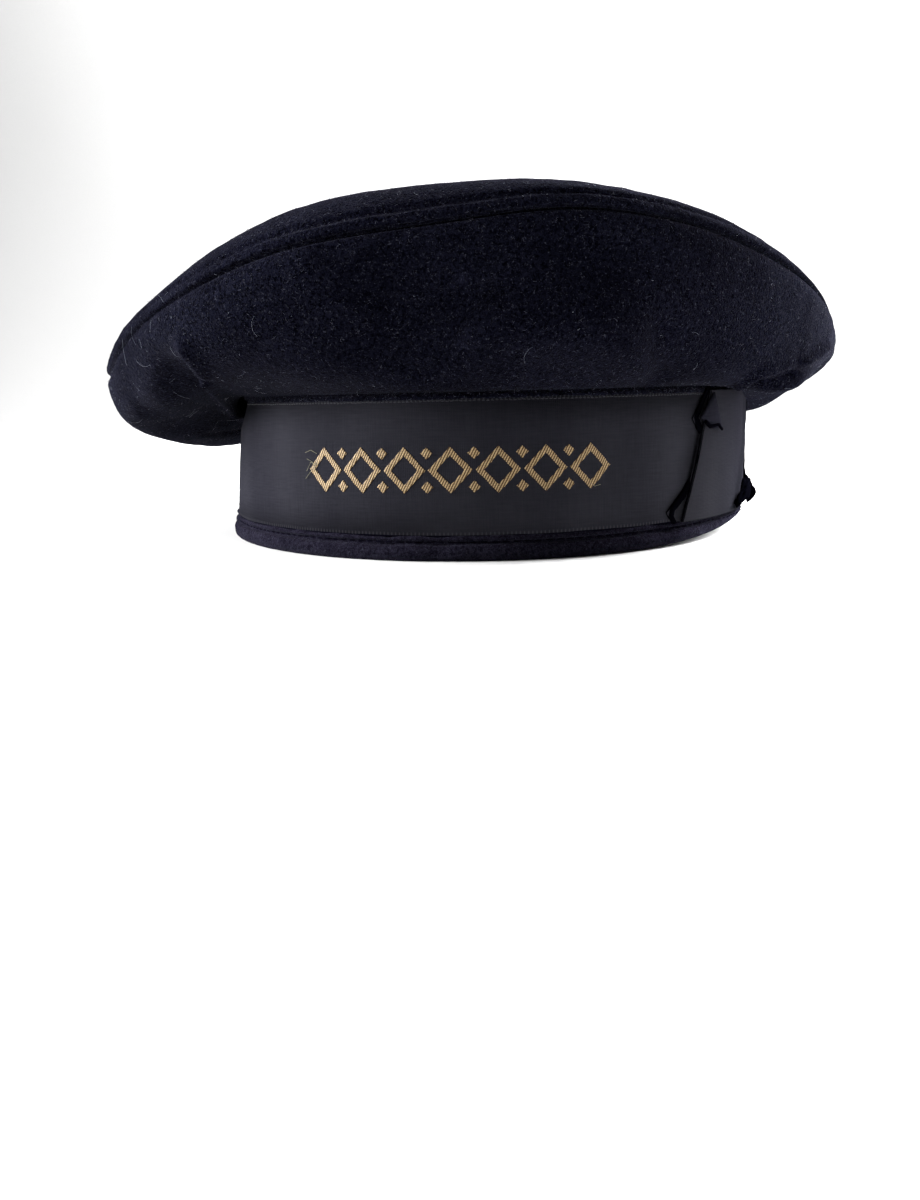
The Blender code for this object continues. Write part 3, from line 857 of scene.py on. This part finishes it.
gold_dents = add(gold_tree, "ShaderNodeBump", {"Height": glow, "Strength": 0.6, "Distance": 0.12 * MM})
gold_tree.links.new(gold_colour, gold_shader.inputs["Base Color"])
gold_tree.links.new(gold_dents.outputs["Normal"], gold_shader.inputs["Normal"])
print("gold:", len(gold_tree.nodes), "nodes")

# %% Row of lozenges
FIGURE_COUNT = 7
FIGURE_PITCH = 13.4 * MM
FIGURE_MIDDLE = (-1.0 * MM, RIBBON_MIDDLE - 0.7 * MM)
random.seed(5)
figure = bmesh.new()


def lozenge(length, height, half_wide, half_high, stroke):
    """An open lozenge, or a filled one where stroke is 0, flat on the ribbon's map."""
    made = bmesh.ops.create_circle(
        figure, cap_ends=True, segments=4, radius=1.0, matrix=Matrix.Diagonal((half_wide, half_high, 1, 1))
    )
    face = made["verts"][0].link_faces[0]
    corners = set(made["verts"])
    if stroke:
        face.normal_update()
        frame_faces = bmesh.ops.inset_region(figure, faces=[face], thickness=stroke, use_boundary=True)["faces"]
        corners.update(vertex for side in frame_faces for vertex in side.verts)
        bmesh.ops.delete(figure, geom=[face], context="FACES_ONLY")
    bmesh.ops.translate(figure, verts=list(corners), vec=(length, height, 0))


for place_in_row in range(FIGURE_COUNT):
    length = (place_in_row - (FIGURE_COUNT - 1) / 2) * FIGURE_PITCH
    lozenge(length, 0.0, 6.3 * MM, 6.5 * MM, 2.3 * MM)
    if place_in_row:
        for height in (-4.7 * MM, 4.7 * MM):
            lozenge(length - FIGURE_PITCH / 2, height, 1.7 * MM, 1.7 * MM, 0)
bmesh.ops.subdivide_edges(figure, edges=figure.edges, cuts=7, use_grid_fill=True)
for vertex in figure.verts:
    vertex.co.x += random.uniform(-0.13, 0.13) * MM
    vertex.co.y += random.uniform(-0.07, 0.07) * MM
figure_map = figure.loops.layers.uv.new("weave")
for face in figure.faces:
    for loop in face.loops:
        loop[figure_map].uv = loop.vert.co.xy
slab = bmesh.ops.extrude_face_region(figure, geom=figure.faces[:], use_keep_orig=True)
raised = [item for item in slab["geom"] if isinstance(item, bmesh.types.BMVert)]
bmesh.ops.translate(figure, verts=raised, vec=(0, 0, 0.25 * MM))
bmesh.ops.recalc_face_normals(figure, faces=figure.faces)
for vertex in figure.verts:
    x, y, z = vertex.co
    vertex.co = along_band(x + FIGURE_MIDDLE[0], RIBBON_OFF + z - 0.12 * MM, y + FIGURE_MIDDLE[1])
bulge(figure)
figure_piece = made_piece("gold_figure", figure, [gold])
LOOSE = [
    # turns and heights in mm along each loose thread
    [(-28.5, 28.0), (-30.0, 25.6), (-32.0, 22.8)],
    [(-28.6, 30.2), (-30.2, 31.2), (-31.8, 30.4)],
    [(-28.4, 27.0), (-30.4, 27.6), (-31.6, 25.0)],
    [(-28.8, 24.6), (-30.0, 27.8), (-31.4, 28.6)],
    [(25.4, 20.8), (26.2, 19.8), (27.4, 20.2)],
]
threads = bmesh.new()
for line in LOOSE:
    rows = [(on_band(turn, 1.9 * MM, height * MM), 0.08 * MM) for turn, height in line]
    one = bpy.data.meshes.new("thread")
    tube(rows).to_mesh(one)
    threads.from_mesh(one)
    bpy.data.meshes.remove(one)
loose_thread = plain_material("loose_thread", 0.8, 0.05, (0.13, 0.125, 0.09))
made_piece("loose_gold_threads", threads, [loose_thread])
print("gold figure:", len(figure_piece.data.polygons), "faces")

# %% [markdown]
# ## Flat bow
#
# The bow is the same ribbon, folded flat in three layers and caught in the middle by a narrow wrap. The CAD walls are
# a millimetre thick so that they can be made. Each copy is pressed towards the band until its walls are as thin as
# ribbon, creased at its folds, rounded and made uneven. Where a fold turns its side to the front, those faces get a
# near-black finish: painted shade, for the shadow that lies in the fold.

# %% Painted shade finishes for the bow
# Both finishes are painted shade: near black for the shadow in the bow's folds, knot, tuft and turned ends, and a
# darker grey for the half shade on the folded corner.
bow_shade = ribbon_finish("ribbon_fold_painted_shade", (0.0003, 0.0003, 0.0008), (0.0012, 0.0012, 0.0022), 1.0)
bow_corner = ribbon_finish("ribbon_corner_painted_half_shade", (0.002, 0.002, 0.004), (0.013, 0.013, 0.018), 1.0)
BOW_MIDDLE = float(np.interp(86.0, TURNS, LENGTHS))
TAIL_REACH = 71.6 * MM

# %% Bow layers


def press(bm, share_at):
    """Moves every point to a share of its stand-off from the ribbon. share_at gives the share at a height."""
    for vertex in bm.verts:
        turn, off = stand_off(vertex.co)
        share = share_at(vertex.co.z)
        vertex.co = on_band(turn, RIBBON_OFF + (off - RIBBON_OFF) * share, vertex.co.z)


def shade_folds(piece, least):
    """Gives the second finish, the near-black painted shade, to faces that look along the band more than away from it.
    """
    for face in piece.data.polygons:
        out = outward(turn_at(face.center))
        if abs(face.normal.dot(out)) < least and abs(face.normal.z) < 0.8:
            face.material_index = 1


def bow_layer(node, name, share_at, crease, swell_size, swell_height, rise, least=0.55, levels=2):
    bm = cad_copy(node)
    crease_corners(bm, 50, crease)
    bm = rounded(bm, levels)
    map_ribbon(bm)
    press(bm, share_at)
    for vertex in bm.verts:
        push = noise.noise(vertex.co / swell_size) + 0.4 * noise.noise(vertex.co * 2.7 / swell_size)
        caught = math.exp(-(((length_at(vertex.co) - BOW_MIDDLE) / (8 * MM)) ** 2))
        vertex.co += outward(turn_at(vertex.co)) * (push * swell_height + rise * caught)
    piece = made_piece(name, bm, [bow_ribbon_painted_shade, bow_shade], [node])
    shade_folds(piece, least)
    return piece


def loop_share(z):
    """The loops lie closer to the band towards their top."""
    return 0.56 - 0.10 * smooth_step(z, 22 * MM, 42 * MM)


tails = bow_layer("bow_tails", "bow_tails_cloth", lambda z: 0.55, 0.9, 14 * MM, 0.10 * MM, -0.30 * MM)
loop_front, loop_rear = (
    bow_layer(node, node + "_cloth", loop_share, 0.6, 12 * MM, 0.16 * MM, -0.35 * MM, levels=3)
    for node in ("bow_loop_front", "bow_loop_rear")
)
LOOP_CREASE = ((7.5, 19, 34), (110.5, 118, 128))  # heights, and lengths round the band at each, in mm
for vertex in loop_front.data.vertices:
    out = outward(turn_at(vertex.co))
    length = float(np.interp(vertex.co.z / MM, *LOOP_CREASE)) * MM
    beside = (length_at(vertex.co) - length) / (1.6 * MM)
    if vertex.normal.dot(out) > 0:
        vertex.co += out * 0.9 * MM * math.exp(-(beside**2))
knot = bow_layer("bow_knot", "bow_knot_cloth", lambda z: 0.45, 0.3, 7 * MM, 0.14 * MM, 0.45 * MM, levels=3)
KNOT_END = (11.8 * MM, 5.0 * MM, 2.8 * MM)  # height, half height and push of the knot's lower swelling
for vertex in knot.data.vertices:
    out = outward(turn_at(vertex.co))
    near_end = max(0.0, 1 - ((vertex.co.z - KNOT_END[0]) / KNOT_END[1]) ** 2)
    if vertex.normal.dot(out) > 0:
        vertex.co += out * KNOT_END[2] * near_end
# The whole knot takes the near-black finish: painted shade, for the shadow that the knot lies in.
for face in knot.data.polygons:
    face.material_index = 1
# A lumpy end at the knot's foot, all in the near-black finish: painted shade for the dark shadow there.
TUFT_TURN, TUFT_OFF, TUFT_HEIGHT = 75.6, 4.4 * MM, 12.2 * MM
TUFT_SIZE = Vector((12, 2.2, 3.4)) * MM
tuft = bmesh.new()
bmesh.ops.create_icosphere(tuft, subdivisions=4, radius=1.0)
for vertex in tuft.verts:
    rough = 1 + 0.30 * noise.noise(vertex.co * 2.2) + 0.14 * noise.noise(vertex.co * 6)
    along, out, up = (share * size * rough for share, size in zip(vertex.co, TUFT_SIZE))
    length = float(np.interp(TUFT_TURN, TURNS, LENGTHS)) + along + 1.2 * up
    vertex.co = along_band(length, TUFT_OFF + out, TUFT_HEIGHT + up + 0.16 * along)
tuft_piece = made_piece("bow_knot_tuft", tuft, [bow_shade])
print("bow:", [len(piece.data.polygons) for piece in (tails, loop_front, loop_rear, knot)])

# %% [markdown]
# The cut ends of the tails are turned under, which leaves a thick edge with a notch in it. It is near black: painted
# shade, for the shadow along that edge. One line per tail follows that edge, with a radius at each point. It becomes a
# tube, which is then pressed flat against the tail.

# %% Turned ends of the tails
TURNED_END = [
    # share of the bow's half height, share of the tail's reach, half width in mm
    (1.08, 0.708, 0.80),
    (0.85, 0.768, 1.00),
    (0.60, 0.820, 1.05),
    (0.46, 0.800, 1.45),
    (0.30, 0.750, 1.35),
    (0.10, 0.764, 0.60),
    (-0.10, 0.802, 0.65),
    (-0.36, 0.848, 1.00),
    (-0.60, 0.908, 1.20),
    (-0.80, 0.982, 1.15),
    (-0.92, 0.990, 1.00),
    (-1.02, 0.965, 0.75),
]


def turned_end(name, way):
    """A flattened tube along a tail's cut end. way is -1 for the tail towards the face."""
    table = np.array(TURNED_END)
    rows = []
    for share in np.linspace(0, len(table) - 1, 45):
        up, reach, half = (float(np.interp(share, range(len(table)), table[:, column])) for column in range(3))
        place = along_band(BOW_MIDDLE + way * reach * TAIL_REACH, 2.0 * MM, RIBBON_MIDDLE + up * RIBBON_HALF)
        rows.append((place, half * MM))
    bm = tube(rows)
    for vertex in bm.verts:
        turn, off = stand_off(vertex.co)
        vertex.co = on_band(turn, 2.05 * MM + (off - 2.0 * MM) * 0.45, vertex.co.z)
    return made_piece(name, bm, [bow_shade])


turned_end("bow_tail_front_end", -1)
turned_end("bow_tail_rear_end", 1)
# A thin dark hook at the front tail's top corner, in the near-black painted-shade finish.
HOOK = [(52.5, 36.4, 0.60), (54.2, 34.8, 0.60), (55.8, 34.9, 0.50), (57.6, 35.2, 0.45), (59.2, 33.6, 0.40)]
hook = [(on_band(turn, 4.3 * MM, height * MM), half * MM) for turn, height, half in HOOK]
made_piece("bow_tail_dark_hook", tube(hook), [bow_shade])

# %% [markdown]
# At the top of the front loop a corner of the tail is folded over onto it. It is a small patch of ribbon: a grid bent
# round the band between four corners, with a thickness.

# %% Folded corner


def patch(name, corners, off, finish, bulge):
    """A thin piece of ribbon between four (length, height) corners, given in order round it."""
    bm = bmesh.new()
    bmesh.ops.create_grid(bm, x_segments=8, y_segments=8, size=1.0)
    first, second, third, fourth = (Vector(corner) for corner in corners)
    for vertex in bm.verts:
        u, v = (vertex.co.x + 1) / 2, (vertex.co.y + 1) / 2
        flat = first.lerp(second, u).lerp(fourth.lerp(third, u), v)
        swell = bulge * math.sin(math.pi * u) * math.sin(math.pi * v)
        vertex.co = along_band(flat.x, off + swell, flat.y)
    out = outward(turn_at(bm.verts[:][0].co))
    bm.normal_update()
    if sum(face.normal.dot(out) for face in bm.faces) < 0:
        bmesh.ops.reverse_faces(bm, faces=bm.faces)
    bmesh.ops.solidify(bm, geom=bm.faces[:], thickness=0.4 * MM)
    map_ribbon(bm)
    return made_piece(name, bm, finish)


# The corner's finish is a darker grey copy of the ribbon: painted half shade on the folded flap.
patch(
    "bow_corner_fold",
    [(88.6 * MM, 45.0 * MM), (80.6 * MM, 37.6 * MM), (88.3 * MM, 34.0 * MM), (94.6 * MM, 34.0 * MM)],
    3.95 * MM,
    [bow_corner],
    0.3 * MM,
)

# %% [markdown]
# ## Loose fibres
#
# What makes wool look like wool is its outline: short fibres stand off everywhere and pale lint lies on top. Each hair
# is a line of a few points in one curve, which gets a thin round section and is then turned into a mesh.

# %% Scatter hairs over cloth


def open_faces(piece, wanted):
    """Middle, normal, area and side of the faces that can grow hairs. Every third face is enough."""
    faces = [face for face in list(piece.data.polygons)[::3] if wanted(face)]
    return [(face.center.copy(), face.normal.copy(), face.area, math.sqrt(face.area)) for face in faces]


def hairs(name, faces, count, length_range, radius, lift, bend, finish, seed):
    random.seed(seed)
    curve = bpy.data.curves.new(name, "CURVE")
    curve.dimensions = "3D"
    curve.bevel_depth = radius
    curve.bevel_resolution = 0
    curve.use_fill_caps = True
    weights = [row[2] for row in faces]
    for middle, normal, _, size in random.choices(faces, weights, k=count):
        flat = normal.orthogonal().normalized()
        flat.rotate(Matrix.Rotation(random.uniform(0, 2 * math.pi), 3, normal))
        side_way = normal.cross(flat)
        spot = middle + flat * random.uniform(-0.5, 0.5) * size + side_way * random.uniform(-0.5, 0.5) * size
        spot -= normal * 0.05 * MM
        length = random.uniform(*length_range)
        steep = random.uniform(*lift)
        turn = random.uniform(-bend, bend)
        points = 7 if length > 2 * MM else 3
        spline = curve.splines.new("POLY")
        spline.points.add(points - 1)
        for step, point in enumerate(spline.points):
            point.co = (*spot, 1)
            bent = turn * step * 2 / (points - 1)
            heading = flat * math.cos(bent) + side_way * math.sin(bent)
            rise = steep * math.cos(math.pi * step / (points - 1) * 0.8)
            spot = spot + (heading + normal * rise).normalized() * length / (points - 1)
    return made_piece(name, curve_bmesh(curve), [finish])


fibre = plain_material("wool_fibre", 0.7, 0.05, (0.026, 0.026, 0.040), 0.1)
lint = plain_material("pale_lint", 0.7, 0.1, (0.24, 0.25, 0.30))
edge_tuft = plain_material("edge_tuft", 0.8, 0.05, (0.060, 0.060, 0.080))


def face_on_side(face):
    return stand_off(face.center)[1] > 3 * MM and face.normal.dot(away_from_hollow(face.center)) > 0


def face_on_top(face):
    return face.normal.dot(Vector((face.center.x, face.center.y, 0)).normalized() + Vector((0, 0, 1))) > 0


crown_faces = open_faces(crown_side, face_on_side) + open_faces(crown_top, face_on_top)
fuzz = [
    hairs("crown_fuzz_%d" % seed, crown_faces, 5000, (0.4 * MM, 1.1 * MM), 0.036 * MM, (0.1, 1.0), 0.6, fibre, seed)
    for seed in (11, 13)
]
left_faces = [row for row in crown_faces if row[0].x < -68 * MM and row[0].y < 0]
pale = [
    hairs("crown_lint_short", crown_faces, 460, (0.3 * MM, 0.9 * MM), 0.026 * MM, (0.0, 0.5), 0.5, lint, 12),
    hairs("crown_lint_long", crown_faces, 80, (2.5 * MM, 7.0 * MM), 0.014 * MM, (0.0, 0.4), 0.8, lint, 14),
    hairs("crown_lint_left", left_faces, 46, (3.0 * MM, 9.0 * MM), 0.015 * MM, (0.0, 0.4), 1.1, lint, 15),
]
edge_faces = open_faces(gathered, lambda face: face.normal.dot(outward(turn_at(face.center))) > 0.2)
hairs("gathered_edge_tufts", edge_faces, 900, (0.4 * MM, 1.1 * MM), 0.030 * MM, (0.1, 1.0), 0.5, edge_tuft, 16)
knot_faces = open_faces(tuft_piece, lambda face: face.normal.dot(outward(turn_at(face.center))) > -0.2)
hairs("bow_knot_frays", knot_faces, 90, (1.0 * MM, 2.6 * MM), 0.05 * MM, (0.1, 0.7), 0.5, thread_dark, 17)
print("hairs:", [len(piece.data.polygons) for piece in fuzz + pale], "faces")

# %% [markdown]
# ## What the cloth was cut to
#
# Each piece of cloth is listed with the flat size that it was cut to, and its area now is printed beside that, so a
# later user knows what to cut.

# %% Cloth sizes
CUTS = [
    # piece, flat width and length in mm, flat area in cm2, how it is held, what it rests on, pieces sewn or lying on it
    ("crown_top_cloth", 266, 266, 556, "stretched", ["crown_side_cloth"], ["crown_topstitch", "rim_seam_fold"]),
    ("crown_side_cloth", 62, 820, 414, "gathered", ["band_cloth"], ["gathered_edge", "gathered_edge_tufts"]),
    ("band_cloth", 60, 590, None, "stretched", ["welt_cloth"], []),
    ("welt_cloth", 11, 590, None, "folded", [], ["welt_stitches"]),
    ("ribbon_cloth", 38, 600, None, "stretched", ["band_cloth"],
     ["ribbon_edge_beads", "ribbon_foot_painted_shadow", "gold_figure"]),
    ("bow_tails_cloth", 38, 143, None, "folded", ["ribbon_cloth"], ["bow_tail_front_end", "bow_tail_rear_end"]),
    ("bow_loop_front_cloth", 38, 132, None, "folded", ["bow_tails_cloth"], []),
    ("bow_loop_rear_cloth", 38, 132, None, "folded", ["bow_tails_cloth"], []),
    ("bow_knot_cloth", 14, 45, None, "folded", ["bow_loop_front_cloth", "bow_loop_rear_cloth"], ["bow_knot_tuft"]),
    ("bow_corner_fold", 10, 11, None, "folded", ["bow_loop_front_cloth"], []),
]
shown = bpy.data.objects
for name, width, length, area, held, rests_on, with_pieces in CUTS:
    piece = shown[name]
    one_side = sum(face.area for face in piece.data.polygons) / 2
    print("%-22s %6.1f cm2 now, cut to %d x %d mm" % (name, one_side * 10000, width, length))

# %% [markdown]
# ## Floor, light and camera
#
# The cap stands on a pale floor that curves up into a pale wall, in even studio light from all round, with soft
# boxes at the left and right. The camera looks at the cap's front from a little to the wearer's left.

# %% Stage
paper, paper_tree, paper_shader = new_material("pale_paper", 0.9, 0.1)
paper_place = add(paper_tree, "ShaderNodeTexCoord").outputs["Object"]
paper_noise = add(paper_tree, "ShaderNodeTexNoise", {"Vector": paper_place, "Scale": 300.0, "Detail": 2.0})
greys = blend(paper_tree, paper_noise.outputs["Fac"], (0.50, 0.50, 0.50, 1), (0.53, 0.53, 0.53, 1))
paper_tree.links.new(greys, paper_shader.inputs["Base Color"])
sweep = bmesh.new()
bmesh.ops.create_grid(sweep, x_segments=1, y_segments=1, size=1.6)
back_edge = [edge for edge in sweep.edges if all(vertex.co.y > 1.5 for vertex in edge.verts)]
for step in range(10):
    grown = bmesh.ops.extrude_edge_only(sweep, edges=back_edge)["geom"]
    back_edge = [item for item in grown if isinstance(item, bmesh.types.BMEdge)]
    angle = math.radians(9 * (step + 0.5))
    moved = [item for item in grown if isinstance(item, bmesh.types.BMVert)]
    bmesh.ops.translate(sweep, verts=moved, vec=(0, 0.13 * math.cos(angle), 0.13 * math.sin(angle)))
grown = bmesh.ops.extrude_edge_only(sweep, edges=back_edge)["geom"]
bmesh.ops.translate(sweep, verts=[item for item in grown if isinstance(item, bmesh.types.BMVert)], vec=(0, 0, 1.6))
mesh = bpy.data.meshes.new("studio_sweep")
sweep.to_mesh(mesh)
sweep.free()
mesh.materials.append(paper)
mesh.shade_smooth()
floor = shown_object("studio_sweep", mesh)
print("floor:", len(mesh.polygons), "faces")

# %% Light
world = bpy.data.worlds.new("studio")
bpy.context.scene.world = world
world.use_nodes = True
sky = world.node_tree
backdrop = sky.nodes["Background"]
backdrop.inputs["Color"].default_value = (1, 1, 1, 1)
heading = add(sky, "ShaderNodeSeparateXYZ", {"Vector": add(sky, "ShaderNodeTexCoord").outputs["Generated"]})
in_front = remap(sky, heading.outputs["Y"], -0.9, 0.5, 0.02, 1.1)
above = remap(sky, heading.outputs["Z"], -0.05, 0.55, 0.5, 0.9)
seen = add(sky, "ShaderNodeLightPath").outputs["Is Camera Ray"]
sky.links.new(calc(sky, "MAXIMUM", calc(sky, "MULTIPLY", in_front, above), seen), backdrop.inputs["Strength"])
LAMPS = [
    # name, place, what it is turned to, size, watts
    ("left_box", (-0.84, -0.08, 0.30), (0, 0, 0), 0.5, 36.0),
    ("right_box", (0.62, 0.62, 0.36), (0, 0, 0), 0.6, 124.0),
    ("key_box", (-0.40, -0.32, 1.0), (0, 0, 0), 0.3, 7.5),
    ("wall_box", (0.0, 1.0, 1.5), (0, 2.9, 0.9), 1.6, 95.0),
]
for name, place, target, size, watts in LAMPS:
    lamp = bpy.data.lights.new(name, "AREA")
    lamp.size = size
    lamp.energy = watts
    holder = shown_object(name, lamp)
    holder.location = place
    holder.rotation_euler = (Vector(target) - Vector(place)).to_track_quat("-Z", "Y").to_euler()
bpy.context.scene.view_settings.view_transform = "Standard"
print("lamps:", len(LAMPS))

# %% Camera
CAMERA_FAR = 0.411
CAMERA_HIGH = 0.047
CAMERA_YAW = math.radians(6.0)
CAMERA_PITCH = math.radians(10.54)
CAMERA_PAN = math.radians(1.76)
CAMERA_ROLL = math.radians(-1.43)
lens = bpy.data.cameras.new("camera")
lens.sensor_width = 36.0
lens.lens = 33.6
lens.clip_start = 0.01
camera = shown_object("camera", lens)
bpy.context.scene.camera = camera
forward = Vector((-math.sin(CAMERA_YAW), math.cos(CAMERA_YAW), -math.tan(CAMERA_PITCH))).normalized()
forward.rotate(Matrix.Rotation(CAMERA_PAN, 3, "Z"))
level_right = forward.cross(Vector((0, 0, 1))).normalized()
level_up = level_right.cross(forward)
right = level_right * math.cos(CAMERA_ROLL) + level_up * math.sin(CAMERA_ROLL)
up = level_up * math.cos(CAMERA_ROLL) - level_right * math.sin(CAMERA_ROLL)
stand = Vector((CAMERA_FAR * math.sin(CAMERA_YAW), -CAMERA_FAR * math.cos(CAMERA_YAW), CAMERA_HIGH))
place = stand + Vector((BAND_MIDDLE.x, BAND_MIDDLE.y, 0))
turned = Matrix((right, up, -forward)).transposed().to_4x4()
camera.matrix_world = Matrix.Translation(place) @ turned
print("camera at", [round(value, 4) for value in place])
